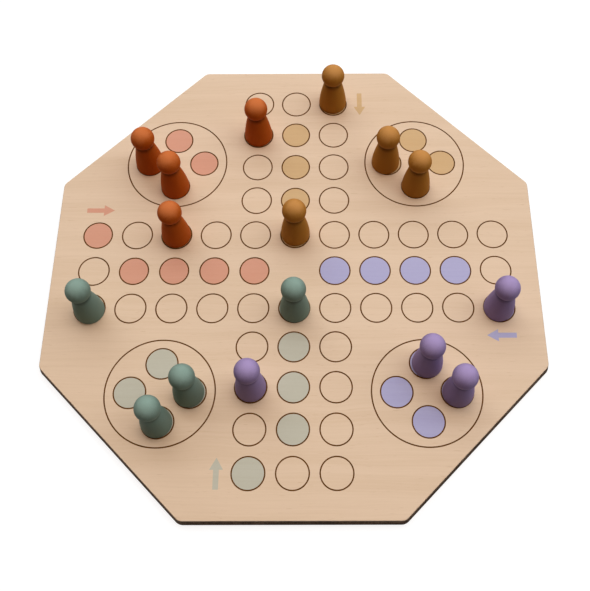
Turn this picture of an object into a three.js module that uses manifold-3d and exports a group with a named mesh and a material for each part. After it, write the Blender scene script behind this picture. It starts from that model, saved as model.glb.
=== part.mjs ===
// Ludo board: an eight-sided plywood board with scored fields, and turned wooden pawns standing on it.
// Millimetres, +Z up. The origin is the middle of the board's underside. +Y points away from the player who
// sits at the sage start field, and +X to that player's right.

import * as THREE from 'three';
import { mergeVertices } from 'three/addons/utils/BufferGeometryUtils.js';
import Module from 'manifold-3d';

const wasm = await Module();
wasm.setup();

// Pawn: a turned foot, a bell that draws in to a neck, and a ball for a head.
const FOOT_D = 18.2;
const FOOT_EASE = 0.6; // rounding of the foot's lower edge
const PAWN_H = 37.5;
const HEAD_D = 14.8;
const NECK_SET_IN = 2.15; // how far the neck lies inside the head's radius
const SIDE_RISE = 8.2; // height at which the bell starts to lean in to the neck

// Fields: one ring is scored round each place where a pawn can stand.
const FOOT_CLEARANCE = 0.35; // from the foot to the middle of the ring's line
const WARM_RING_SET_IN = 0.45; // rust and ochre rings are drawn this much smaller
const RING_GAP = 6.1; // between the lines of neighbouring rings
const SCORE_W = 0.55;
const SCORE_DEPTH = 0.3;

// Houses: a large ring in each corner, round the four spots where a team waits.
const HOUSE_MARGIN = 5.3; // from a spot's line to the house's line
const HOUSE_EDGE_MARGIN = 8.1; // from the house's line to the edge that cuts off its corner of the board

// Board: five plies, glued with the grain crossed.
const EDGE_MARGIN = 16.5; // from the outermost rings' lines to the edge of the face
const EDGE_FLARE = 1.2; // how much further out the leaning edge is at the table than at the face
const CORNER_R = 5;
const EDGE_ROUND = 0.4; // rounding of the upper and lower edges
const FACE_T = 1.15;
const BAND_T = 1.4;

// Facets.
const CORNER_STEPS = 4;
const EDGE_STEPS = 2;
const RING_SIDES = 16;
const HOUSE_SIDES = 40;
const PAWN_SIDES = 16;
const BELL_STEPS = 4;
const HEAD_STEPS = 6;
const GOLDEN_ANGLE = Math.PI * (3 - Math.sqrt(5));
const CUT_OVER = 0.2; // how far a cutter stands above the face that it cuts

// Sizes that follow from those above.
const FIELD_R = FOOT_D / 2 + FOOT_CLEARANCE;
const PITCH = 2 * FIELD_R + RING_GAP;
const ARM = 5; // fields from the middle of the cross to the end of an arm
const APOTHEM = ARM * PITCH + FIELD_R + EDGE_MARGIN;
const SPOT_OFFSET = PITCH / Math.SQRT2; // the four spots stand one pitch apart, as a square on its corner
const HOUSE_R = SPOT_OFFSET + FIELD_R + HOUSE_MARGIN;
const HOUSE_OFFSET = (APOTHEM - HOUSE_EDGE_MARGIN - HOUSE_R) / Math.SQRT2;
const BOARD_T = 2 * FACE_T + 3 * BAND_T;

// The teams. Each has its house in one corner and its home lane in one arm. stands lists where its pawns are:
// on a field of the cross, counted in fields from the middle, or on a spot of the house, counted in spots
// from the house's middle. nudge is how far off that place a pawn was set down, in radii of its field.
const TEAMS = [
  {
    name: 'rust', color: 0xb4521f, house: [-1, 1], lane: [-1, 0], start: [-5, 1], warm: true,
    stands: [
      { field: [-1, 4] },
      { field: [-3, 1] },
      { spot: [-1, 0] },
      { spot: [0, -1] },
    ],
  },
  {
    name: 'ochre', color: 0xb07a35, house: [1, 1], lane: [0, 1], start: [1, 5], warm: true,
    stands: [
      { field: [1, 5], nudge: [-0.03, 0.12] },
      { field: [0, 1], nudge: [0.03, 0.11] },
      { spot: [-1, 0], nudge: [-0.14, 0.02] },
      { spot: [0, -1] },
    ],
  },
  {
    name: 'sage', color: 0x5f8279, house: [-1, -1], lane: [0, -1], start: [-1, -5], warm: false,
    stands: [
      { field: [-5, -1], nudge: [0.05, -0.13] },
      { field: [0, -1], nudge: [0.04, -0.07] },
      { spot: [1, 0], nudge: [-0.06, 0] },
      { spot: [0, -1], nudge: [-0.05, -0.02] },
    ],
  },
  {
    name: 'lilac', color: 0x7c689f, house: [1, -1], lane: [1, 0], start: [5, -1], warm: false,
    stands: [
      { field: [5, -1], nudge: [-0.06, -0.03] },
      { field: [-1, -3] },
      { spot: [0, 1], nudge: [0.1, -0.03] },
      { spot: [1, 0], nudge: [0.03, -0.04] },
    ],
  },
];
const SPOTS = [[1, 0], [0, 1], [-1, 0], [0, -1]];

/** A three.js geometry as a solid that can be cut. */
function solidOf(geometry) {
  const bare = geometry.clone();
  bare.deleteAttribute('normal');
  bare.deleteAttribute('uv');
  const merged = mergeVertices(bare, 1e-5);
  return new wasm.Manifold(new wasm.Mesh({
    numProp: 3,
    vertProperties: new Float32Array(merged.attributes.position.array),
    triVerts: new Uint32Array(merged.index.array),
  }));
}

/** A cut solid as a three.js geometry again. */
function geometryOf(solid) {
  const mesh = solid.getMesh();
  const geometry = new THREE.BufferGeometry();
  geometry.setAttribute('position', new THREE.BufferAttribute(mesh.vertProperties, 3));
  geometry.setIndex(new THREE.BufferAttribute(mesh.triVerts, 1));
  geometry.computeVertexNormals();
  return geometry;
}

/** The outline of the board's face, set in by some distance: eight flats joined by corner arcs. */
function boardOutline(setIn) {
  const reach = (APOTHEM - CORNER_R) / Math.cos(Math.PI / 8);
  const points = [];
  for (let corner = 0; corner < 8; corner += 1) {
    const bisector = (corner + 0.5) * Math.PI / 4;
    for (let step = 0; step <= CORNER_STEPS; step += 1) {
      const turn = (corner + step / CORNER_STEPS) * Math.PI / 4;
      points.push(new THREE.Vector2(
        reach * Math.cos(bisector) + (CORNER_R - setIn) * Math.cos(turn),
        reach * Math.sin(bisector) + (CORNER_R - setIn) * Math.sin(turn),
      ));
    }
  }
  return points;
}

/** How far the leaning edge is set in at a height: nothing at the face, and less than nothing below it. */
function leanSetIn(z) {
  return EDGE_FLARE * (z / BOARD_T - 1);
}

/** A ply: the board's outline lofted through levels, each a height and how far it is set in from the lean. */
function plyGeometry(levels) {
  const rings = levels.map(({ z, setIn }) => {
    const outline = boardOutline(leanSetIn(z) + setIn);
    return outline.map((point) => new THREE.Vector3(point.x, point.y, z));
  });
  const count = rings[0].length;
  const index = [];
  for (let level = 0; level + 1 < rings.length; level += 1) {
    for (let i = 0; i < count; i += 1) {
      const a = level * count + i;
      const b = level * count + (i + 1) % count;
      index.push(a, b, b + count, a, b + count, a + count);
    }
  }
  const top = (rings.length - 1) * count;
  for (const [a, b, c] of THREE.ShapeUtils.triangulateShape(boardOutline(0), [])) {
    index.push(c, b, a, top + a, top + b, top + c);
  }
  const geometry = new THREE.BufferGeometry().setFromPoints(rings.flat());
  geometry.setIndex(index);
  geometry.computeVertexNormals();
  return geometry;
}

/** Levels of an outer ply: from its glued face at z, up or down, to its rounded outer edge. */
function roundedLevels(z, direction) {
  const round = Math.min(EDGE_ROUND, FACE_T);
  const levels = [{ z, setIn: 0 }];
  for (let step = round < FACE_T ? 0 : 1; step <= EDGE_STEPS; step += 1) {
    const turn = step / EDGE_STEPS * Math.PI / 2;
    levels.push({
      z: z + direction * (FACE_T - round + round * Math.sin(turn)),
      setIn: round * (1 - Math.cos(turn)),
    });
  }
  return direction > 0 ? levels : levels.reverse();
}

/** A V-shaped ring that cuts a scored line of radius r into the face. */
function scoreCutter(r, sides) {
  const half = SCORE_W / 2;
  const profile = [
    [r, -SCORE_DEPTH],
    [r + half, 0],
    [r + half, CUT_OVER],
    [r - half, CUT_OVER],
    [r - half, 0],
    [r, -SCORE_DEPTH],
  ].map(([radius, height]) => new THREE.Vector2(radius, BOARD_T + height));
  return new THREE.LatheGeometry(profile, sides).rotateX(Math.PI / 2);
}

/** The team whose start field or home lane a field of the cross belongs to, if it has one. */
function ownerOf(x, y) {
  return TEAMS.find(({ lane, start }) => {
    const along = x * lane[0] + y * lane[1];
    const across = x * lane[1] - y * lane[0];
    const onLane = across === 0 && along > 0 && along < ARM;
    const onStart = x === start[0] && y === start[1];
    return onLane || onStart;
  });
}

/** Radius of a field's ring: a rust or an ochre one is drawn smaller. */
function ringRadius(team) {
  return team?.warm ? FIELD_R - WARM_RING_SET_IN : FIELD_R;
}

/** Every field's ring: the three-wide cross but for its bare middle, and the spots of the houses. */
function fieldRings() {
  const rings = [];
  for (let x = -ARM; x <= ARM; x += 1) {
    for (let y = -ARM; y <= ARM; y += 1) {
      const onCross = Math.abs(x) <= 1 || Math.abs(y) <= 1;
      const isMiddle = x === 0 && y === 0;
      if (onCross && !isMiddle) {
        rings.push({ x: x * PITCH, y: y * PITCH, r: ringRadius(ownerOf(x, y)) });
      }
    }
  }
  for (const team of TEAMS) {
    for (const spot of SPOTS) {
      const [x, y] = spotPlace(team.house, spot);
      rings.push({ x, y, r: ringRadius(team) });
    }
  }
  return rings;
}

/** The middle of one spot of a house. */
function spotPlace(house, spot) {
  return [0, 1].map((axis) => house[axis] * HOUSE_OFFSET + spot[axis] * SPOT_OFFSET);
}

/** The face veneer, with every field and house scored into it. */
function faceVeneerGeometry() {
  const cutters = fieldRings().map(({ x, y, r }, number) => solidOf(
    // Each ring starts at its own angle, so that the corners of a row of rings don't line up.
    scoreCutter(r, RING_SIDES).rotateZ(number * GOLDEN_ANGLE).translate(x, y, 0),
  ));
  for (const { house } of TEAMS) {
    const cutter = scoreCutter(HOUSE_R, HOUSE_SIDES);
    cutters.push(solidOf(cutter.translate(house[0] * HOUSE_OFFSET, house[1] * HOUSE_OFFSET, 0)));
  }
  const veneer = solidOf(plyGeometry(roundedLevels(BOARD_T - FACE_T, 1)));
  return geometryOf(cutters.reduce((left, cutter) => left.subtract(cutter), veneer));
}

/** A pawn standing on z = 0: foot, bell and ball turned as one profile. */
function pawnGeometry() {
  const footR = FOOT_D / 2;
  const headR = HEAD_D / 2;
  const neckR = headR - NECK_SET_IN;
  const headZ = PAWN_H - headR;
  const neckAngle = Math.acos(neckR / headR);
  const neckZ = headZ - headR * Math.sin(neckAngle);
  const bell = new THREE.QuadraticBezierCurve(
    new THREE.Vector2(footR, FOOT_EASE),
    new THREE.Vector2(footR, SIDE_RISE),
    new THREE.Vector2(neckR, neckZ),
  );
  const head = new THREE.EllipseCurve(0, headZ, headR, headR, -neckAngle, Math.PI / 2);
  const profile = [
    new THREE.Vector2(0, 0),
    new THREE.Vector2(footR - FOOT_EASE, 0),
    ...bell.getPoints(BELL_STEPS),
    ...head.getPoints(HEAD_STEPS).slice(1, -1),
    new THREE.Vector2(0, PAWN_H),
  ];
  return new THREE.LatheGeometry(profile, PAWN_SIDES).rotateX(Math.PI / 2);
}

const ludo = new THREE.Group();

function addPiece(name, geometry, color, roughness) {
  const material = new THREE.MeshStandardMaterial({ color, roughness, metalness: 0 });
  const piece = new THREE.Mesh(geometry, material);
  piece.name = name;
  ludo.add(piece);
  return piece;
}

// The board, from the table upwards.
const BIRCH = 0xddc3a5;
const SCORCHED = 0x3a281a;
addPiece('back_veneer', plyGeometry(roundedLevels(FACE_T, -1)), BIRCH, 0.6);
['lower_cross_band', 'core_ply', 'upper_cross_band'].forEach((name, number) => {
  const levels = [number, number + 1].map((ply) => ({ z: FACE_T + ply * BAND_T, setIn: 0 }));
  addPiece(name, plyGeometry(levels), SCORCHED, 0.75);
});
addPiece('face_veneer', faceVeneerGeometry(), BIRCH, 0.55);

// The pawns.
for (const { name, color, house, stands } of TEAMS) {
  stands.forEach(({ field, spot, nudge = [0, 0] }, number) => {
    const place = spot ? spotPlace(house, spot) : field.map((count) => count * PITCH);
    const pawn = addPiece(`${name}_pawn_${number + 1}`, pawnGeometry(), color, 0.6);
    const [x, y] = place.map((middle, axis) => middle + nudge[axis] * FIELD_R);
    pawn.position.set(x, y, BOARD_T);
  });
}

export default ludo;
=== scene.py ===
# %% [markdown]
# # A ludo board with turned pawns
#
# The object is a thin plywood board with eight sides, and sixteen small turned pawns that stand on it.
# Every field is a ring scored into the top veneer, and four teams' tints are printed inside their own
# rings. The CAD part gives the sizes and says what moves: the board is one body, and each pawn is a body
# that lifts off it. This lesson dresses that part, so each piece below either stands for a CAD piece or
# lies on one.

import math

import bpy
import numpy as np
from mathutils import Matrix, Vector
from mathutils.geometry import delaunay_2d_cdt


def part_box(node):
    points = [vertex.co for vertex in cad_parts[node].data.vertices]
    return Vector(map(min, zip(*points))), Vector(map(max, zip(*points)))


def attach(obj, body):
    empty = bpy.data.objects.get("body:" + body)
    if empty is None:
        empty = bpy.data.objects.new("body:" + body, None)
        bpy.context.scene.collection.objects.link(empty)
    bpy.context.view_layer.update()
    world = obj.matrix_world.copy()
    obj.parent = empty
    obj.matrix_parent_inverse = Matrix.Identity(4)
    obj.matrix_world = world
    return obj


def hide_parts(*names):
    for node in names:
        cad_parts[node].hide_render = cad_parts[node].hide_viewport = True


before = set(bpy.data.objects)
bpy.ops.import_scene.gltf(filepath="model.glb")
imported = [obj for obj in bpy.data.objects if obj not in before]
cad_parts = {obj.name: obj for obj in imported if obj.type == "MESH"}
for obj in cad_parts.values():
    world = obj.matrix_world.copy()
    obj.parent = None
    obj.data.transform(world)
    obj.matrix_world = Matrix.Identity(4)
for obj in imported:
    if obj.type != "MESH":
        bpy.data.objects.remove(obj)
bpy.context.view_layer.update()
MM = 0.001
BOARD_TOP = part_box("face_veneer")[1].z
print("loaded", len(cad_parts), "CAD pieces; the board is", round(BOARD_TOP / MM, 2), "mm thick")

# %% [markdown]
# ## The camera
#
# The picture that this scene follows looks down on the board at a steep angle. Its camera could be found
# by hand, by turning it until the rings line up. Here it was worked out from the rings, which are round
# and evenly spaced on the real board, and from the lean of the pawns, so its eye and its angles are plain
# values. The lens points a little away from the middle of the picture, and Blender's lens shift gives
# that.

# %% Place the camera
IMAGE_W, IMAGE_H = 590, 591
LONG_SIDE = max(IMAGE_W, IMAGE_H)
FOCAL_PX = 879.9
LENS_AXIS_PX = (317.5, 255.5)  # the pixel that the lens points at
EYE = Vector((15.95 * MM, -228.0 * MM, BOARD_TOP + 497.85 * MM))
TILT, TURN, ROLL = math.radians(25.593), math.radians(0.409), math.radians(-0.547)

camera_data = bpy.data.cameras.new("board_camera")
camera_data.sensor_width = 36
camera_data.lens = FOCAL_PX / LONG_SIDE * camera_data.sensor_width
camera_data.shift_x = (IMAGE_W / 2 - LENS_AXIS_PX[0]) / LONG_SIDE
camera_data.shift_y = (LENS_AXIS_PX[1] - IMAGE_H / 2) / LONG_SIDE
camera = bpy.data.objects.new("board_camera", camera_data)
camera.matrix_world = (
    Matrix.Translation(EYE)
    @ Matrix.Rotation(TURN, 4, "Z")
    @ Matrix.Rotation(TILT, 4, "X")
    @ Matrix.Rotation(ROLL, 4, "Z")
)
scene = bpy.context.scene
scene.collection.objects.link(camera)
scene.camera = camera
scene.view_settings.view_transform = "Standard"
print("camera: lens", round(camera_data.lens, 1), "mm, eye", [round(c, 3) for c in EYE])

# %% [markdown]
# ## Nodes in a few words
#
# Every finish below is a small web of shader nodes. Adding nodes one property at a time is wordy, so a
# few helpers do it: one adds any node and fills its inputs, and others do arithmetic, blend two colours
# or make noise. A colour is written as it looks on a screen, and has to be turned into the linear light
# that Blender works with.

# %% Helpers that add nodes
def linear(red, green, blue):
    """A screen colour, 0 to 255, as linear light: a power of 2.4 with a straight foot."""
    screen = np.array([red, green, blue]) / 255
    light = np.where(screen > 0.04045, ((screen + 0.055) / 1.055) ** 2.4, screen / 12.92)
    return (*light.tolist(), 1.0)


def fill(tree, sockets, values):
    """Fills input sockets, by name or number, with plain values or with other nodes' outputs."""
    for name, value in values.items():
        if isinstance(value, bpy.types.NodeSocket):
            tree.links.new(value, sockets[name])
        else:
            sockets[name].default_value = value


def add_node(tree, kind, inputs=None, **settings):
    """Adds a node, sets its properties and fills its inputs."""
    node = tree.nodes.new(kind)
    for name, value in settings.items():
        setattr(node, name, value)
    fill(tree, node.inputs, inputs or {})
    return node


def calc(tree, operation, *values):
    """The result of a Math node."""
    return add_node(tree, "ShaderNodeMath", dict(enumerate(values)), operation=operation).outputs[0]


def remap(tree, value, low, high, to_low=0.0, to_high=1.0):
    """A value's range, low to high, stretched with soft ends to another range and clamped there."""
    ends = {"Value": value, "From Min": low, "From Max": high, "To Min": to_low, "To Max": to_high}
    return add_node(tree, "ShaderNodeMapRange", ends, interpolation_type="SMOOTHSTEP").outputs["Result"]


def blend(tree, share, first, second):
    """Two colours, or two values, mixed with a share of the second one."""
    mix = add_node(tree, "ShaderNodeMix", data_type="RGBA")
    fill(tree, mix.inputs, {0: share, 6: first, 7: second})
    return mix.outputs[2]


def noise(tree, place, per_mm, detail=3.0, roughness=0.55):
    """Soft noise with per_mm cells to a millimetre on each axis. Few cells draw it out along that axis."""
    cells = [count / MM for count in per_mm]
    scaled = add_node(tree, "ShaderNodeVectorMath", {0: place, 1: cells}, operation="MULTIPLY").outputs[0]
    inputs = {"Vector": scaled, "Scale": 1.0, "Detail": detail, "Roughness": roughness}
    return add_node(tree, "ShaderNodeTexNoise", inputs).outputs["Fac"]


print("node helpers ready")

# %% Helpers that start groups and finishes
def new_group(name, inputs, outputs):
    """An empty node group with named sockets. Returns its tree, what it is given and what it puts out."""
    tree = bpy.data.node_groups.new(name, "ShaderNodeTree")
    for label, kind in inputs.items():
        tree.interface.new_socket(label, in_out="INPUT", socket_type=kind)
    for label, kind in outputs.items():
        tree.interface.new_socket(label, in_out="OUTPUT", socket_type=kind)
    return tree, tree.nodes.new("NodeGroupInput").outputs, tree.nodes.new("NodeGroupOutput").inputs


def use_group(tree, group, **inputs):
    """Places a group in a tree and returns its outputs."""
    return add_node(tree, "ShaderNodeGroup", inputs, node_tree=group).outputs


def new_finish(name):
    """An empty material: the material, its node tree, and the inputs of its shader."""
    material = bpy.data.materials.new(name)
    material.use_nodes = True
    tree = material.node_tree
    return material, tree, tree.nodes["Principled BSDF"].inputs


def bump(tree, height, strength, distance):
    """A normal that follows a height."""
    inputs = {"Height": height, "Strength": strength, "Distance": distance}
    return add_node(tree, "ShaderNodeBump", inputs).outputs["Normal"]


def place_of(tree):
    """Where a point of the piece is, in metres, in the CAD's own frame."""
    return add_node(tree, "ShaderNodeTexCoord").outputs["Object"]


NUMBER, VECTOR = "NodeSocketFloat", "NodeSocketVector"
print("group helpers ready")

# %% [markdown]
# ## Birch grain
#
# The faces of the board are birch veneer, peeled off a turning log. It is pale and even: slow bands a
# finger wide, fine streaks along the grain, and short brown flecks like pencil dashes. A photograph of
# wood could be used as a texture, but noise drawn out along the grain has no seams and stays sharp close
# up. The printed tints let the grain through, so the grain is a node group that the bare wood and the ink
# share.

# %% The grain group
def birch_grain_group():
    """Tone is the wood's lightness, Fleck marks the brown dashes, and Height is the feel of the fibres.

    A slow noise first bends the place across the grain, so that no streak is dead straight. Three more
    noises, each finer than the last, add up to the tone, and of a fourth only the peaks stay, as flecks.
    """
    tree, given, out = new_group(
        "Birch grain", {"Place": VECTOR}, {"Tone": NUMBER, "Fleck": NUMBER, "Height": NUMBER}
    )
    sway = calc(tree, "MULTIPLY", noise(tree, given["Place"], (0.011, 0.02, 0.02), 2.0), 9 * MM)
    across = add_node(tree, "ShaderNodeCombineXYZ", {"Y": sway}).outputs[0]
    moved = {0: given["Place"], 1: across}
    bent = add_node(tree, "ShaderNodeVectorMath", moved, operation="ADD").outputs[0]
    band = noise(tree, bent, (0.004, 0.11, 0.11), 3.0)
    streak = noise(tree, bent, (0.018, 0.95, 0.95), 4.0, 0.65)
    fibre = noise(tree, bent, (0.11, 5.0, 5.0), 2.0)
    coarse = calc(tree, "MULTIPLY_ADD", band, 0.5, calc(tree, "MULTIPLY", streak, 0.36))
    tone = calc(tree, "MULTIPLY_ADD", fibre, 0.14, coarse)
    fleck = remap(tree, noise(tree, bent, (0.16, 2.1, 2.1), 1.0), 0.68, 0.8)
    fill(tree, out, {
        "Tone": remap(tree, tone, 0.34, 0.66),
        "Fleck": fleck,
        "Height": calc(tree, "SUBTRACT", fibre, fleck),
    })
    return tree


BIRCH_GRAIN = birch_grain_group()
print("group:", BIRCH_GRAIN.name)

# %% [markdown]
# ## Burnt edges and lines
#
# The board was cut out and its rings were drawn by heat, which left brown char on the cut edge and in the
# lines. Char is never one brown: the cut has fine upright marks, and the wood burns more where the grain
# ends. A dark colour alone would look like paint, so one group mixes upright marks, long streaks and
# specks into a share of soot, for the plies' edges and the scored lines alike.

# %% The char group
def char_group():
    """Soot is how black a point is burnt, and Height the roughness of the char.

    Upright marks are noise drawn out in height, so they run straight down any upright edge. Specks are fine
    noise, and patches are slow noise, for the places where the heat stayed longer.
    """
    tree, given, out = new_group(
        "Char", {"Place": VECTOR, "End grain": NUMBER}, {"Soot": NUMBER, "Height": NUMBER}
    )
    marks = noise(tree, given["Place"], (1.7, 1.7, 0.05), 3.0)
    specks = noise(tree, given["Place"], (4.0, 4.0, 6.0), 2.0)
    patches = noise(tree, given["Place"], (0.09, 0.09, 0.3), 2.0)
    grain = blend(tree, given["End grain"], noise(tree, given["Place"], (0.2, 0.2, 5.0), 2.0), specks)
    soot = calc(tree, "MULTIPLY_ADD", marks, 0.4, calc(tree, "MULTIPLY", patches, 0.35))
    soot = calc(tree, "MULTIPLY_ADD", grain, 0.25, soot)
    fill(tree, out, {
        "Soot": remap(tree, soot, 0.36, 0.64),
        "Height": calc(tree, "MULTIPLY_ADD", specks, 0.5, marks),
    })
    return tree


CHAR = char_group()
CHAR_BROWN, CHAR_BLACK = linear(88, 60, 34), linear(42, 28, 16)


def scorched_finish(name, brown, black, end_grain):
    """Burnt wood: between two browns by the share of soot, matt, and a little rough."""
    material, tree, shader = new_finish(name)
    char = use_group(tree, CHAR, **{"Place": place_of(tree), "End grain": end_grain})
    fill(tree, shader, {
        "Base Color": blend(tree, char["Soot"], brown, black),
        "Roughness": remap(tree, char["Soot"], 0.0, 1.0, 0.62, 0.86),
        "Normal": bump(tree, char["Height"], 0.3, 0.06 * MM),
        "Specular IOR Level": 0.08,
    })
    return material


SCORCHED_ACROSS = scorched_finish("scorched_end_grain", CHAR_BROWN, CHAR_BLACK, 1.0)
SCORCHED_ALONG = scorched_finish("scorched_long_grain", linear(98, 69, 41), linear(54, 37, 22), 0.0)
SCORED = scorched_finish("scored_line", linear(116, 74, 29), linear(94, 58, 21), 1.0)
print("finishes:", SCORCHED_ACROSS.name, SCORCHED_ALONG.name, SCORED.name)

# %% [markdown]
# ## The veneer's finish
#
# The face and the back are the same sheet of birch, pale where it was sanded and burnt where it was cut.
# Two materials would leave a hard join along the edge. One material does both: the depth below the nearer
# outer face says where the cut starts, and a little noise lets the char creep up unevenly.

# %% Birch veneer, pale on its face and burnt on its edge
BIRCH_PALE, BIRCH_WARM = linear(222, 192, 162), linear(214, 183, 151)
BIRCH_FLECK = linear(182, 144, 110)
CHAR_STARTS, CHAR_FULL = 0.12 * MM, 0.34 * MM  # depth below the face


def veneer_finish():
    """Grain between a pale and a warm tone, brown flecks on it, and char below the edge of the face."""
    material, tree, shader = new_finish("birch_veneer")
    place = place_of(tree)
    grain = use_group(tree, BIRCH_GRAIN, Place=place)
    wood = blend(tree, grain["Tone"], BIRCH_WARM, BIRCH_PALE)
    wood = blend(tree, calc(tree, "MULTIPLY", grain["Fleck"], 0.35), wood, BIRCH_FLECK)
    height = add_node(tree, "ShaderNodeSeparateXYZ", {0: place}).outputs["Z"]
    depth = calc(tree, "MINIMUM", height, calc(tree, "SUBTRACT", BOARD_TOP, height))
    creep = calc(tree, "MULTIPLY", noise(tree, place, (0.5, 0.5, 0.5)), 0.12 * MM)
    burnt = remap(tree, calc(tree, "ADD", depth, creep), CHAR_STARTS, CHAR_FULL)
    char = use_group(tree, CHAR, **{"Place": place, "End grain": 0.5})
    soot = blend(tree, char["Soot"], CHAR_BROWN, CHAR_BLACK)
    relief = calc(tree, "MULTIPLY_ADD", char["Height"], burnt, grain["Height"])
    fill(tree, shader, {
        "Base Color": blend(tree, burnt, wood, soot),
        "Roughness": remap(tree, calc(tree, "ADD", burnt, grain["Fleck"]), 0.0, 1.0, 0.52, 0.78),
        "Normal": bump(tree, relief, 0.12, 0.05 * MM),
        "Specular IOR Level": 0.4,
    })
    return material


BIRCH_VENEER = veneer_finish()
print("finish:", BIRCH_VENEER.name)

# %% [markdown]
# ## Meshes from arrays
#
# Every piece below is worked out as arrays of points. A closed row of points, such as a circle or the
# board's outline, is joined to the next row by a strip of four-sided faces, and a row is closed by a fan
# to one point. A mesh whose faces point inwards would look black, so the piece's signed volume is
# measured before it is made: if it is below zero, every face is turned round.

# %% Helpers that make pieces
def strip(row, next_row):
    """Quads between two closed rows of point numbers."""
    return np.stack([row, np.roll(row, -1), np.roll(next_row, -1), next_row], -1)


def fan(row, middle):
    """Triangles from a closed row of point numbers to one middle point."""
    return np.stack([row, np.roll(row, -1), np.full_like(row, middle)], -1)


def signed_volume(points, faces):
    """The sum of the tetrahedra from the origin to each triangle: above zero if faces point outwards."""
    total = 0.0
    for block in faces:
        for corner in range(1, block.shape[1] - 1):
            a, b, c = (points[block[:, i]] for i in (0, corner, corner + 1))
            total += np.einsum("ij,ij->i", a, np.cross(b, c)).sum() / 6
    return total


def make_piece(name, points, faces, finish, body, slot, stands_for=None, flat=False):
    """Puts points and blocks of faces into a mesh at the origin, and hangs it on its body in its finish."""
    if signed_volume(points, faces) < 0:
        faces = [block[:, ::-1] for block in faces]
    mesh = bpy.data.meshes.new(name)
    mesh.from_pydata(points.tolist(), [], [face for block in faces for face in block.tolist()])
    mesh.polygons.foreach_set("use_smooth", np.full(len(mesh.polygons), not flat))
    mesh.materials.append(finish)
    mesh.validate()
    mesh.update()
    piece = bpy.data.objects.new(name, mesh)
    scene.collection.objects.link(piece)
    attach(piece, body)
    if stands_for:
        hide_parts(stands_for)
    print("piece:", name, "with", sum(len(p.vertices) - 2 for p in mesh.polygons), "triangles")
    return piece


def repeated(points, faces, places):
    """Copies of a shape, one moved to each place, as one set of points and blocks of faces."""
    shift = np.arange(len(places)) * len(points)
    copies = (points[None] + places[:, None]).reshape(-1, 3)
    return copies, [(block[None] + shift[:, None, None]).reshape(-1, block.shape[1]) for block in faces]


def joined(*shapes):
    """Several shapes, each points and blocks of faces, as one."""
    points, faces = np.zeros((0, 3)), []
    for more, blocks in shapes:
        faces += [block + len(points) for block in blocks]
        points = np.concatenate([points, more])
    return points, faces


print("mesh helpers ready")

# %% [markdown]
# ## The layout of the fields
#
# Fields stand on a square grid, three wide, in the shape of a cross with a bare middle. Each corner has a
# house: a large ring round four spots. Each team owns the four spots of its house, the middle lane of one
# arm and one start field, and the arms are the same but for a quarter turn. So the layout could be listed
# field by field, but only one team's places are needed, and the others are turned from them.

# %% Where the fields are
PITCH = 25 * MM
ARM = 5
FIELD_R, WARM_FIELD_R = 9.45 * MM, 9.0 * MM  # rust and ochre rings are drawn smaller
APOTHEM = 150.95 * MM
SPOT_OFFSET = PITCH / math.sqrt(2)
HOUSE_MARGIN, HOUSE_EDGE_MARGIN = 5.3 * MM, 8.1 * MM  # spot's line to the house's, and that to the edge
HOUSE_R = SPOT_OFFSET + FIELD_R + HOUSE_MARGIN
HOUSE_OFFSET = (APOTHEM - HOUSE_EDGE_MARGIN - HOUSE_R) / math.sqrt(2)
TEAMS = {"rust": 0, "ochre": 1, "lilac": 2, "sage": 3}  # quarter turns clockwise from the rust team's arm
WARM_TEAMS = ("rust", "ochre")


def quarter_turned(places, turns):
    """Places turned clockwise by some quarter turns: once, (x, y) goes to (y, -x)."""
    for _ in range(turns):
        places = np.stack([places[:, 1], -places[:, 0]], -1)
    return places


def team_places(team):
    """The middles of a team's nine tinted fields: four spots, four of the home lane, and the start."""
    spots = SPOT_OFFSET * np.array([[1, 0], [0, 1], [-1, 0], [0, -1]]) + HOUSE_OFFSET * np.array([-1, 1])
    lane = PITCH * np.array([[-1, 0], [-2, 0], [-3, 0], [-4, 0]])
    start = PITCH * np.array([[-ARM, 1]])
    return quarter_turned(np.concatenate([spots, lane, start]), TEAMS[team])


steps = np.arange(-ARM, ARM + 1)
grid = np.stack(np.meshgrid(steps, steps, indexing="ij"), -1).reshape(-1, 2)
on_cross = (np.abs(grid).min(1) <= 1) & (np.abs(grid).max(1) > 0)
all_spots = np.concatenate([team_places(team)[:4] for team in TEAMS])
field_middles = np.concatenate([grid[on_cross] * PITCH, all_spots])
warm_middles = np.concatenate([team_places(team) for team in WARM_TEAMS])
is_warm = (np.linalg.norm(field_middles[:, None] - warm_middles[None], axis=2) < PITCH / 4).any(1)
field_radii = np.where(is_warm, WARM_FIELD_R, FIELD_R)
house_middles = HOUSE_OFFSET * np.array([[-1, 1], [1, 1], [1, -1], [-1, -1]])
house_radii = np.full(4, HOUSE_R)
print(len(field_middles), "fields,", is_warm.sum(), "drawn smaller, and", len(house_middles), "houses")

# %% [markdown]
# ## The face veneer
#
# The top sheet of the board carries the rings. Cutting them with boolean operations would leave long thin
# triangles and facets. Instead, the flat face is filled between the outline and all the circles by a
# constrained triangulation, which keeps every circle's points, and the inside of each ring's line is left
# open. A V-shaped groove, whose rows of points start and end on those same circles, then closes each
# opening.

# %% The board's outline
CORNER_R, CORNER_STEPS = 5 * MM, 10
EDGE_FLARE = 1.19 * MM  # a hair less than the CAD's, so that the finer rounding stays inside it
EDGE_ROUND, ROUND_STEPS = 0.4 * MM, 6


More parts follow.
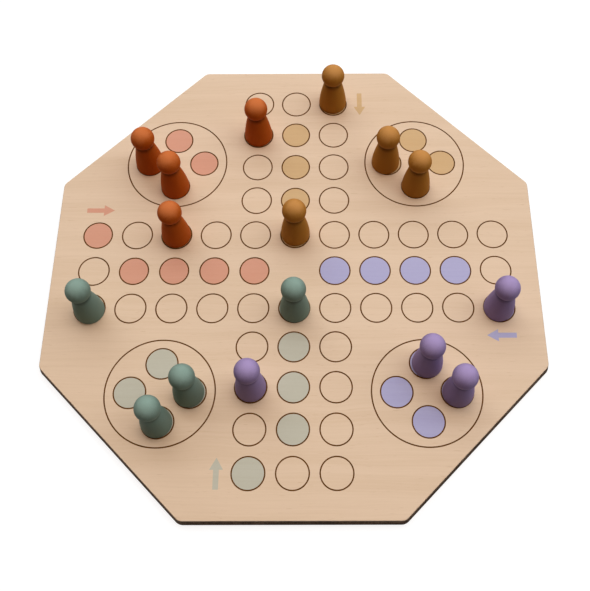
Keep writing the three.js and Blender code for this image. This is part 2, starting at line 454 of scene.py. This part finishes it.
def board_outline(set_in):
    """The outline of the face, set in by a distance: eight flats joined by corner arcs.

    An arc's middle is on its corner's bisector. A point of the arc is that middle plus the arc's radius,
    less the set-in, in a direction that turns by an eighth of a circle from one flat to the next.
    """
    corner = np.arange(8)[:, None]
    bisector = (corner + 0.5) * np.pi / 4 + np.zeros(CORNER_STEPS + 1)
    turn = (corner + np.linspace(0, 1, CORNER_STEPS + 1)) * np.pi / 4
    reach = (APOTHEM - CORNER_R) / math.cos(math.pi / 8)
    x = reach * np.cos(bisector) + (CORNER_R - set_in) * np.cos(turn)
    y = reach * np.sin(bisector) + (CORNER_R - set_in) * np.sin(turn)
    return np.stack([x, y], -1).reshape(-1, 2)


def at_height(flat, z):
    """Points of a plane, in an array of any shape, lifted to a height."""
    return np.concatenate([flat, np.full((*flat.shape[:-1], 1), z)], -1)


def edge_rows(levels):
    """The outline at each level, a height and a set-in, on the edge that leans out towards the table."""
    leans = [EDGE_FLARE * (z / BOARD_TOP - 1) + set_in for z, set_in in levels]
    return np.concatenate([at_height(board_outline(lean), z) for lean, (z, _) in zip(leans, levels)])


def rounded_levels(z, direction):
    """Levels from a ply's glued face at z, up or down to the outer face, with a quarter round between."""
    turn = np.linspace(0, np.pi / 2, ROUND_STEPS + 1)
    outer = BOARD_TOP if direction > 0 else 0.0
    heights = outer - direction * EDGE_ROUND * (1 - np.sin(turn))
    return [(z, 0.0), *zip(heights.tolist(), (EDGE_ROUND * (1 - np.cos(turn))).tolist())]


OUTLINE_POINTS = len(board_outline(0.0))
print("outline:", OUTLINE_POINTS, "points")

# %% The flat face between the rings
SCORE_W, SCORE_DEPTH = 0.55 * MM, 0.3 * MM
FIELD_SIDES, HOUSE_SIDES = 72, 240
RING_SETS = (field_middles, field_radii, FIELD_SIDES), (house_middles, house_radii, HOUSE_SIDES)
FILL_HULL, MERGE_WITHIN = 0, 1e-9  # triangles all over, and no two points made one


def circles(middles, radii, sides):
    """Points on circles: each middle, plus its radius times a direction that goes once round."""
    turn = 2 * np.pi * np.arange(sides) / sides
    return middles[:, None] + radii[:, None, None] * np.stack([np.cos(turn), np.sin(turn)], -1)


def face_loops():
    """The closed rows of points that bound the face: the outline, then each ring's outer and inner side."""
    loops = [board_outline(EDGE_ROUND)[None]]
    for middles, radii, sides in RING_SETS:
        loops += [circles(middles, radii + half, sides) for half in (SCORE_W / 2, -SCORE_W / 2)]
    return loops


def numbered(loops):
    """The same loops as numbers of points, counted on from one to the next."""
    counts = np.cumsum([0] + [loop.shape[0] * loop.shape[1] for loop in loops])
    return [np.arange(a, b).reshape(loop.shape[:2]) for a, b, loop in zip(counts, counts[1:], loops)]


def filled_face(loops, numbers):
    """Triangles between the outline and the rings, without those that would bridge a ring's own line."""
    flat = np.concatenate([loop.reshape(-1, 2) for loop in loops])
    sides = np.concatenate([np.stack([n, np.roll(n, -1, 1)], -1).reshape(-1, 2) for n in numbers])
    corners = [Vector(point) for point in flat.tolist()]
    points, _, faces, *_ = delaunay_2d_cdt(corners, sides.tolist(), [], FILL_HULL, MERGE_WITHIN)
    assert len(points) == len(flat)
    faces = np.array(faces)
    centres = flat[faces].mean(1)
    middles = np.concatenate([field_middles, house_middles])
    radii = np.concatenate([field_radii, house_radii])
    off_line = np.linalg.norm(centres[:, None] - middles[None], axis=2) - radii
    return flat, faces[(np.abs(off_line) > SCORE_W / 2 * 0.98).all(1)]


loops = face_loops()
loop_numbers = numbered(loops)
face_flat, face_triangles = filled_face(loops, loop_numbers)
print("face:", len(face_flat), "points and", len(face_triangles), "triangles")

# %% The veneer with its grooves and its edge
def groove_bottoms():
    """The lowest line of each ring's groove: a circle, the score's depth below the face."""
    return [at_height(circles(*ring_set), BOARD_TOP - SCORE_DEPTH) for ring_set in RING_SETS]


def face_veneer():
    """Points and faces of the top sheet: flat face, V-shaped grooves, rounded edge and glued underside."""
    points = at_height(face_flat, BOARD_TOP)
    faces = [face_triangles]
    for bottoms, outer, inner in zip(groove_bottoms(), loop_numbers[1::2], loop_numbers[2::2]):
        low = len(points) + np.arange(bottoms[..., 0].size).reshape(bottoms.shape[:2])
        points = np.concatenate([points, bottoms.reshape(-1, 3)])
        for wide, narrow in ((outer, low), (low, inner)):
            ahead = np.roll(wide, -1, 1), np.roll(narrow, -1, 1)
            faces.append(np.stack([wide, ahead[0], ahead[1], narrow], -1).reshape(-1, 4))
    levels = rounded_levels(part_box("face_veneer")[0].z, 1)[:-1]
    rows = len(points) + np.arange(len(levels) * OUTLINE_POINTS).reshape(len(levels), -1)
    points = np.concatenate([points, edge_rows(levels), [[0, 0, levels[0][0]]]])
    faces += [strip(a, b) for a, b in zip(rows, [*rows[1:], loop_numbers[0][0]])]
    faces.append(fan(rows[0], len(points) - 1)[:, ::-1])
    return points, faces


make_piece(
    "face_sheet", *face_veneer(), BIRCH_VENEER, "board", "birch_veneer",
    stands_for="face_veneer", flat=True,
)

# %% [markdown]
# ## The scored lines
#
# On the real board each ring is a fine burnt line. The grooves are modelled, but a texture that covers
# the whole board is too coarse to colour a line half a millimetre wide. So the char is its own thin piece
# that lines each groove: its edges stay sharp at any distance.

# %% Char in the grooves
LINER_T = 0.03 * MM
CHAR_HALO = 0.14 * MM  # how far the char reaches past the groove, on the face


def groove_liner(middles, radii, sides):
    """A thin closed V carried round each ring: a flat lip on each side, and an upper and a lower valley."""
    lip, edge, lip_top = SCORE_W / 2 + CHAR_HALO, SCORE_W / 2 - LINER_T, 0.4 * LINER_T
    section = np.array([
        [lip, -LINER_T], [lip, lip_top], [edge, lip_top], [0.0, 2 * LINER_T - SCORE_DEPTH],
        [-edge, lip_top], [-lip, lip_top], [-lip, -LINER_T], [0.0, -LINER_T - SCORE_DEPTH],
    ])
    rings = [at_height(circles(middles, radii + out, sides), BOARD_TOP + up) for out, up in section]
    points = np.stack(rings, 1)
    numbers = np.arange(points[..., 0].size).reshape(points.shape[:3])
    after, inward = np.roll(numbers, -1, 2), np.roll(numbers, -1, 1)
    quads = np.stack([numbers, after, np.roll(inward, -1, 2), inward], -1)
    return points.reshape(-1, 3), [quads.reshape(-1, 4)]


make_piece(
    "scored_lines", *joined(*(groove_liner(*ring_set) for ring_set in RING_SETS)),
    SCORED, "board", "scorched_ply", stands_for="face_veneer", flat=True,
)

# %% [markdown]
# ## The printed tints
#
# Each team's nine fields are filled with a thin, matt ink, and an arrow beside its start shows which way
# it goes. The ink lies in the wood, so the grain shows through it. It could be painted into the veneer's
# material, but as with the lines, an edge in a texture would blur. Each team's ink is a film, a few
# hundredths of a millimetre thick, inside its rings.

# %% Discs and arrows of ink
INK_T, INK_SINK = 0.03 * MM, 0.02 * MM
ARROW_L, ARROW_HEAD_L, ARROW_HEAD_W, ARROW_SHAFT_W = 17.8 * MM, 6.8 * MM, 7.8 * MM, 3.2 * MM
ARROW_OFFSET = 18 * MM  # from the start field's middle, away from the lane


def ink_disc(radius):
    """A closed round film: a lower and an upper middle, with two circles between them."""
    ring = circles(np.zeros((1, 2)), np.array([radius]), FIELD_SIDES)[0]
    low, high = BOARD_TOP - INK_SINK, BOARD_TOP + INK_T
    points = np.concatenate([at_height(ring, low), at_height(ring, high), [[0, 0, low], [0, 0, high]]])
    below, above = np.arange(2 * FIELD_SIDES).reshape(2, -1)
    return points, [strip(below, above), fan(below, len(points) - 2)[:, ::-1], fan(above, len(points) - 1)]


def ink_arrow(team):
    """A closed film in the outline of an arrow: a shaft and a head that share the head's base."""
    tail, base, tip = -ARROW_L / 2, ARROW_L / 2 - ARROW_HEAD_L, ARROW_L / 2
    shaft, head = ARROW_SHAFT_W / 2, ARROW_HEAD_W / 2
    outline = np.array([
        [tail, -shaft], [base, -shaft], [base, -head], [tip, 0], [base, head], [base, shaft], [tail, shaft],
    ])
    middle = np.array([-ARM * PITCH, PITCH + ARROW_OFFSET])
    outline = quarter_turned(outline + middle, TEAMS[team])
    levels = [at_height(outline, z) for z in (BOARD_TOP - INK_SINK, BOARD_TOP + INK_T)]
    low, high = np.arange(2 * len(outline)).reshape(2, -1)
    shaft_part, head_part = [0, 1, 5, 6], [1, 2, 3, 4, 5]
    caps = [cap for part in (shaft_part, head_part) for cap in (high[None, part], low[None, part[::-1]])]
    return np.concatenate(levels), [strip(low, high), *caps]


def team_ink(team):
    """All of a team's ink: nine discs inside their rings, and the arrow."""
    radius = (WARM_FIELD_R if team in WARM_TEAMS else FIELD_R) - SCORE_W / 2 - CHAR_HALO
    return joined(repeated(*ink_disc(radius), at_height(team_places(team), 0.0)), ink_arrow(team))


print("ink film:", INK_T / MM, "mm above the face")

# %% Ink that lets the grain through
INKS = {
    "rust": (linear(211, 149, 122), linear(203, 139, 109)),
    "ochre": (linear(205, 168, 119), linear(196, 156, 104)),
    "lilac": (linear(174, 169, 202), linear(161, 155, 193)),
    "sage": (linear(190, 185, 167), linear(179, 172, 151)),
}


def ink_finish(team):
    """Ink between a pale and a full tint by the grain's tone, with faint flecks and a little mottling."""
    material, tree, shader = new_finish(team + "_ink")
    place = place_of(tree)
    grain = use_group(tree, BIRCH_GRAIN, Place=place)
    mottle = noise(tree, place, (0.5, 0.7, 0.5), 3.0)
    share = calc(tree, "MULTIPLY_ADD", mottle, 0.5, calc(tree, "MULTIPLY", grain["Tone"], 0.5))
    pale, full = INKS[team]
    tint = blend(tree, share, full, pale)
    tint = blend(tree, calc(tree, "MULTIPLY", grain["Fleck"], 0.18), tint, BIRCH_FLECK)
    fill(tree, shader, {
        "Base Color": tint,
        "Roughness": remap(tree, mottle, 0.3, 0.7, 0.5, 0.62),
        "Normal": bump(tree, grain["Height"], 0.08, 0.05 * MM),
        "Specular IOR Level": 0.4,
    })
    return material


for team in TEAMS:
    make_piece(
        team + "_ink", *team_ink(team), ink_finish(team), "board", team + "_paint",
        stands_for="face_veneer", flat=True,
    )

# %% [markdown]
# ## The plies below
#
# Under the face are three inner plies and the back veneer, each glued with its grain across its
# neighbour's. Only their edges show, as a dark leaning band. The band could be one strip with painted
# lines, but real plies part a hair at the glue. Each ply is its own loft of the outline, with a tiny
# bevel at both glue lines.

# %% Loft the plies
GLUE_BEVEL = 0.07 * MM
PLY_FINISHES = {
    "lower_cross_band": SCORCHED_ACROSS,
    "core_ply": SCORCHED_ALONG,
    "upper_cross_band": SCORCHED_ACROSS,
}


def lofted_ply(levels):
    """The board's outline carried up through levels and closed below and above by fans."""
    rows = np.arange(len(levels) * OUTLINE_POINTS).reshape(len(levels), -1)
    points = np.concatenate([edge_rows(levels), [[0, 0, levels[0][0]], [0, 0, levels[-1][0]]]])
    faces = [strip(a, b) for a, b in zip(rows, rows[1:])]
    caps = [fan(rows[0], len(points) - 2)[:, ::-1], fan(rows[-1], len(points) - 1)]
    return points, faces + caps


def inner_levels(node):
    """A ply's levels between its two glue lines: set in by the bevel at each, and full just inside."""
    low, high = (corner.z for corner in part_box(node))
    return [(low, GLUE_BEVEL), (low + GLUE_BEVEL, 0.0), (high - GLUE_BEVEL, 0.0), (high, GLUE_BEVEL)]


for node, finish in PLY_FINISHES.items():
    make_piece(
        node + "_edge", *lofted_ply(inner_levels(node)), finish, "board", "scorched_ply",
        stands_for=node, flat=True,
    )
back_levels = rounded_levels(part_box("back_veneer")[1].z, -1)[::-1]
make_piece(
    "back_sheet", *lofted_ply(back_levels), BIRCH_VENEER, "board", "birch_veneer",
    stands_for="back_veneer", flat=True,
)

# %% [markdown]
# ## The pawns
#
# A pawn is turned from one stick of wood: a foot with an eased edge, a bell that draws in to a neck, and
# a ball for a head. A lathe in real life is a lathe here: the profile is worked out once as an array and
# carried round the axis. The crease under the head is where the turner's tool stopped, so it gets a small
# hollow of its own.

# %% Turn the profile
FOOT_R, FOOT_EASE, HEAD_R, NECK_R = 9.1 * MM, 0.6 * MM, 7.4 * MM, 5.25 * MM
PAWN_H, SIDE_RISE = 37.5 * MM, 8.2 * MM
HEAD_Z = PAWN_H - HEAD_R
NECK_Z = HEAD_Z - math.sqrt(HEAD_R**2 - NECK_R**2)
FOOT_HOLLOW = 0.3 * MM
CREASE = 0.7 * MM  # how deep the turner's tool went in under the head
CREASE_TURN = 0.03  # how far round the ball the crease ends, in radians
UNDER_STEPS, FOOT_STEPS, BELL_STEPS, CREASE_STEPS, HEAD_STEPS = 8, 7, 40, 9, 44
PAWN_SIDES = 96


def curve(start, control, end, steps):
    """A quadratic curve: a point slides from start to end and is drawn to the control between them."""
    t = np.linspace(0, 1, steps)[:, None]
    start, control, end = (np.array(p) for p in (start, control, end))
    return (1 - t) ** 2 * start + 2 * t * (1 - t) * control + t**2 * end


def arc(middle_r, middle_z, radius, first, last, steps):
    """Part of a circle in the profile, from a first angle to a last one."""
    turn = np.linspace(first, last, steps)
    return np.stack([middle_r + radius * np.cos(turn), middle_z + radius * np.sin(turn)], -1)


def pawn_profile():
    """Radius and height of the pawn, from the middle of its underside to the crown.

    A curve for the hollow underside, a quarter round for the foot's edge, curves for the bell and the
    crease, and an arc for the ball follow one another.
    """
    neck_turn = -math.acos(NECK_R / HEAD_R)
    foot = arc(FOOT_R - FOOT_EASE, FOOT_EASE, FOOT_EASE, -np.pi / 2, 0, FOOT_STEPS)
    bell = curve((FOOT_R, FOOT_EASE), (FOOT_R, SIDE_RISE), (NECK_R, NECK_Z), BELL_STEPS)[1:-1]
    head = arc(0, HEAD_Z, HEAD_R, neck_turn + CREASE_TURN, np.pi / 2, HEAD_STEPS)
    crease = curve(bell[-1], (NECK_R - 2 * CREASE, NECK_Z), head[0], CREASE_STEPS)[1:-1]
    under = curve((0, FOOT_HOLLOW), (0.6 * FOOT_R, FOOT_HOLLOW), foot[0], UNDER_STEPS)[:-1]
    return np.concatenate([under, foot, bell, crease, head[:-1], [[0, PAWN_H]]])


def turned(profile, sides):
    """A profile of radius and height carried once round the upright axis, closed by a pole at each end."""
    ring = circles(np.zeros((1, 2)), np.ones(1), sides)[0]
    inner = profile[1:-1]
    rounds = inner[:, None, :1] * ring[None]
    heights = np.broadcast_to(inner[:, None, 1:], (*rounds.shape[:2], 1))
    points = np.concatenate([rounds, heights], -1).reshape(-1, 3)
    rows = np.arange(len(points)).reshape(len(inner), sides)
    points = np.concatenate([points, [[0, 0, profile[0, 1]], [0, 0, profile[-1, 1]]]])
    caps = [fan(rows[0], len(points) - 2)[:, ::-1], fan(rows[-1], len(points) - 1)]
    return points, [strip(a, b) for a, b in zip(rows, rows[1:])] + caps


pawn_points, pawn_faces = turned(pawn_profile(), PAWN_SIDES)
print("profile:", len(pawn_profile()), "points; pawn:", len(pawn_points), "points")

# %% [markdown]
# ## Paint on turned wood
#
# The pawns are painted in four muted colours with a soft sheen. Paint on wood is never quite smooth: the
# fibres of the stick run upwards and stand a little proud, the tool left fine rings, and the coat is
# thicker here and thinner there. The pattern has to follow each pawn's own axis, so every point carries
# its place on the pawn as an attribute, moved on by a pawn's number so that no two are alike.

# %% The paint group
# Painted crease shade: none beyond the first distance from the neck, full within the second.
CREASE_SHADE_REACH, CREASE_SHADE_FULL = 4.2 * MM, 0.4 * MM  # distance from the neck


def turned_paint_group():
    """Tone is how thin the coat lies, Crease is painted shade under the head, and Height is its relief.

    The relief is fibres that run up the pawn, and tool rings that go round it.
    """
    tree, given, out = new_group(
        "Turned paint", {"Place": VECTOR}, {"Tone": NUMBER, "Crease": NUMBER, "Height": NUMBER}
    )
    coat = noise(tree, given["Place"], (0.16, 0.16, 0.1), 3.0)
    fibres = noise(tree, given["Place"], (1.8, 1.8, 0.08), 3.0)
    rings = noise(tree, given["Place"], (0.02, 0.02, 2.4), 2.0)
    tone = calc(tree, "MULTIPLY_ADD", coat, 0.65, calc(tree, "MULTIPLY", fibres, 0.35))
    height = add_node(tree, "ShaderNodeSeparateXYZ", {0: given["Place"]}).outputs["Z"]
    from_neck = calc(tree, "ABSOLUTE", calc(tree, "SUBTRACT", height, NECK_Z))
    fill(tree, out, {
        "Tone": remap(tree, tone, 0.32, 0.68),
        "Crease": remap(tree, from_neck, CREASE_SHADE_REACH, CREASE_SHADE_FULL),
        "Height": calc(tree, "MULTIPLY_ADD", rings, 0.6, fibres),
    })
    return tree


TURNED_PAINT = turned_paint_group()
CREASE_SHADE_TONE, CREASE_SHADE_SHARE = 0.2, 0.55  # painted shade in the crease: how dark it is, and how strong at most
# Each team's paint as a lit and a shaded tone: painted light and shade, blended by how a point faces up.
LIT_AND_SHADED_PAINTS = {
    "rust": (linear(207, 115, 62), linear(178, 80, 18)),
    "ochre": (linear(198, 139, 76), linear(169, 110, 38)),
    "lilac": (linear(169, 148, 192), linear(144, 124, 167)),
    "sage": (linear(139, 162, 150), linear(116, 136, 124)),
}


def paint_finish(team):
    """Satin paint, lighter where thin, with painted light where it faces up and painted shade in the crease.
    """
    material, tree, shader = new_finish(team + "_paint")
    place = add_node(tree, "ShaderNodeAttribute", attribute_name="own_place").outputs["Vector"]
    coat = use_group(tree, TURNED_PAINT, Place=place)
    facing = add_node(tree, "ShaderNodeNewGeometry").outputs["Normal"]
    upward = add_node(tree, "ShaderNodeSeparateXYZ", {0: facing}).outputs["Z"]
    # Painted light and shade: facing up picks the lit tone, facing sideways the shaded one; coat tone adds a
    # little.
    coat_tone_and_painted_light = calc(tree, "MULTIPLY_ADD", calc(tree, "SUBTRACT", coat["Tone"], 0.5), 0.25, upward)
    light, deep = LIT_AND_SHADED_PAINTS[team]
    colour = blend(tree, remap(tree, coat_tone_and_painted_light, 0.25, 1.05), deep, light)
    # Painted shade in the crease: a much darker copy of the shaded tone.
    painted_crease_shade = (*(channel * CREASE_SHADE_TONE for channel in deep[:3]), 1.0)
    fill(tree, shader, {
        "Base Color": blend(tree, calc(tree, "MULTIPLY", coat["Crease"], CREASE_SHADE_SHARE), colour, painted_crease_shade),
        "Roughness": remap(tree, coat["Tone"], 0.0, 1.0, 0.48, 0.6),
        "Normal": bump(tree, coat["Height"], 0.1, 0.05 * MM),
        "Specular IOR Level": 0.03,
    })
    return material


PAINT_FINISHES = {team: paint_finish(team) for team in TEAMS}
print("finishes:", [finish.name for finish in PAINT_FINISHES.values()])

# %% Stand the pawns on the board
PATTERN_STEP = 70 * MM  # how far the paint's pattern moves on from one pawn to the next


def stand_pawn(team, number, count):
    """One pawn where its CAD piece stands, with each point's own place on it kept for the paint."""
    node = f"{team}_pawn_{number}"
    low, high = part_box(node)
    foot = np.array([(low.x + high.x) / 2, (low.y + high.y) / 2, low.z])
    pawn = make_piece(
        node + "_turned", pawn_points + foot, pawn_faces, PAINT_FINISHES[team], node, team + "_paint",
        stands_for=node,
    )
    own_place = pawn.data.attributes.new("own_place", "FLOAT_VECTOR", "POINT")
    own_place.data.foreach_set("vector", (pawn_points + [count * PATTERN_STEP, 0, 0]).ravel())
    return pawn


pawns = [stand_pawn(team, number, 4 * TEAMS[team] + number) for team in TEAMS for number in (1, 2, 3, 4)]
print("pawns:", len(pawns))

# %% [markdown]
# ## Floor and light
#
# The board lies on plain white. Most of its light is a wide window above and behind it, so the pawns' far
# sides glow and their near sides are deep, and a small warm lamp straight above fills the shadows on the
# wood. The floor could be lit until it is white, but that would bleach the board. Instead, rays that
# reach the floor or the sky straight from the camera, or by way of a gloss, find them white, while the
# light they give stays plain.

# %% White floor and sky
FLOOR_SIZE = 6.0
FLOOR_DROP = 0.05 * MM
FLOOR_LIGHT, SKY_LIGHT = 0.45, 0.01  # how light they are for the object
SHADED, GLOW = 0.3, 0.8  # where the floor is seen: what takes the shadow, and its own white
SHADOW_FADES = 0.25, 0.6  # distance from the middle


def seen_directly(tree):
    """1 for a ray from the camera, or through gloss or glass, and 0 for light on its way to the object."""
    path = add_node(tree, "ShaderNodeLightPath").outputs
    gloss = calc(tree, "MAXIMUM", path["Is Glossy Ray"], path["Is Transmission Ray"])
    return calc(tree, "MAXIMUM", path["Is Camera Ray"], gloss)


def grey(level):
    """A colour without a tint, as linear light."""
    return (level, level, level, 1.0)


def glow_of(tree, strength):
    """A white that is there without any light."""
    return add_node(tree, "ShaderNodeEmission", {"Color": grey(1.0), "Strength": strength}).outputs[0]


def floor_finish():
    """Plain and diffuse for the light it gives. Where it is seen, it is its own white with the shadow on it.

    Far from the board nothing casts a shadow, so there it fades into the sky's white.
    """
    material = bpy.data.materials.new("white_floor")
    material.use_nodes = True
    tree = material.node_tree
    tree.nodes.clear()
    lit = add_node(tree, "ShaderNodeBsdfDiffuse", {"Color": grey(FLOOR_LIGHT)}).outputs[0]
    shaded = add_node(tree, "ShaderNodeBsdfDiffuse", {"Color": grey(SHADED)}).outputs[0]
    near = add_node(tree, "ShaderNodeAddShader", {0: shaded, 1: glow_of(tree, GLOW)}).outputs[0]
    reach = add_node(tree, "ShaderNodeVectorMath", {0: place_of(tree)}, operation="LENGTH").outputs["Value"]
    mixed = {0: remap(tree, reach, *SHADOW_FADES), 1: near, 2: glow_of(tree, 1.0)}
    seen = add_node(tree, "ShaderNodeMixShader", mixed).outputs[0]
    mix = add_node(tree, "ShaderNodeMixShader", {0: seen_directly(tree), 1: lit, 2: seen}).outputs[0]
    add_node(tree, "ShaderNodeOutputMaterial", {"Surface": mix})
    return material


corners = FLOOR_SIZE / 2 * np.array([[-1, -1, 0], [1, -1, 0], [1, 1, 0], [-1, 1, 0]]) - [0, 0, FLOOR_DROP]
floor_mesh = bpy.data.meshes.new("floor")
floor_mesh.from_pydata(corners.tolist(), [], [[0, 1, 2, 3]])
floor_mesh.materials.append(floor_finish())
floor = bpy.data.objects.new("floor", floor_mesh)
scene.collection.objects.link(floor)

world = bpy.data.worlds.new("white_sky")
world.use_nodes = True
sky = world.node_tree
white = blend(sky, seen_directly(sky), grey(SKY_LIGHT), grey(1.0))
fill(sky, sky.nodes["Background"].inputs, {"Color": white, "Strength": 1.0})
scene.world = world
print("floor", FLOOR_SIZE, "m wide, sky light", SKY_LIGHT)

# %% A window behind and a lamp above
DAYLIGHT, LAMPLIGHT = (0.85, 0.94, 1.0), (1.0, 0.5, 0.18)  # on the face of the board they add up to white


def soft_light(name, place, width, depth, power, colour):
    """A rectangle of light that is turned to face the middle of the board."""
    lamp = bpy.data.lights.new(name, "AREA")
    lamp.shape = "RECTANGLE"
    lamp.size, lamp.size_y = width, depth
    lamp.energy = power
    lamp.color = colour
    light = bpy.data.objects.new(name, lamp)
    light.location = place
    light.rotation_euler = (-Vector(place)).to_track_quat("-Z", "Y").to_euler()
    light.visible_camera = False
    scene.collection.objects.link(light)
    return light


window = soft_light("window", (0.4, 0.95, 2.1), 5.5, 2.4, 104, DAYLIGHT)
lamp_above = soft_light("lamp_above", (0, 0.1, 2.6), 0.9, 0.9, 12.5, LAMPLIGHT)
print("lights:", [f"{light.name} {light.data.energy} W" for light in (window, lamp_above)])
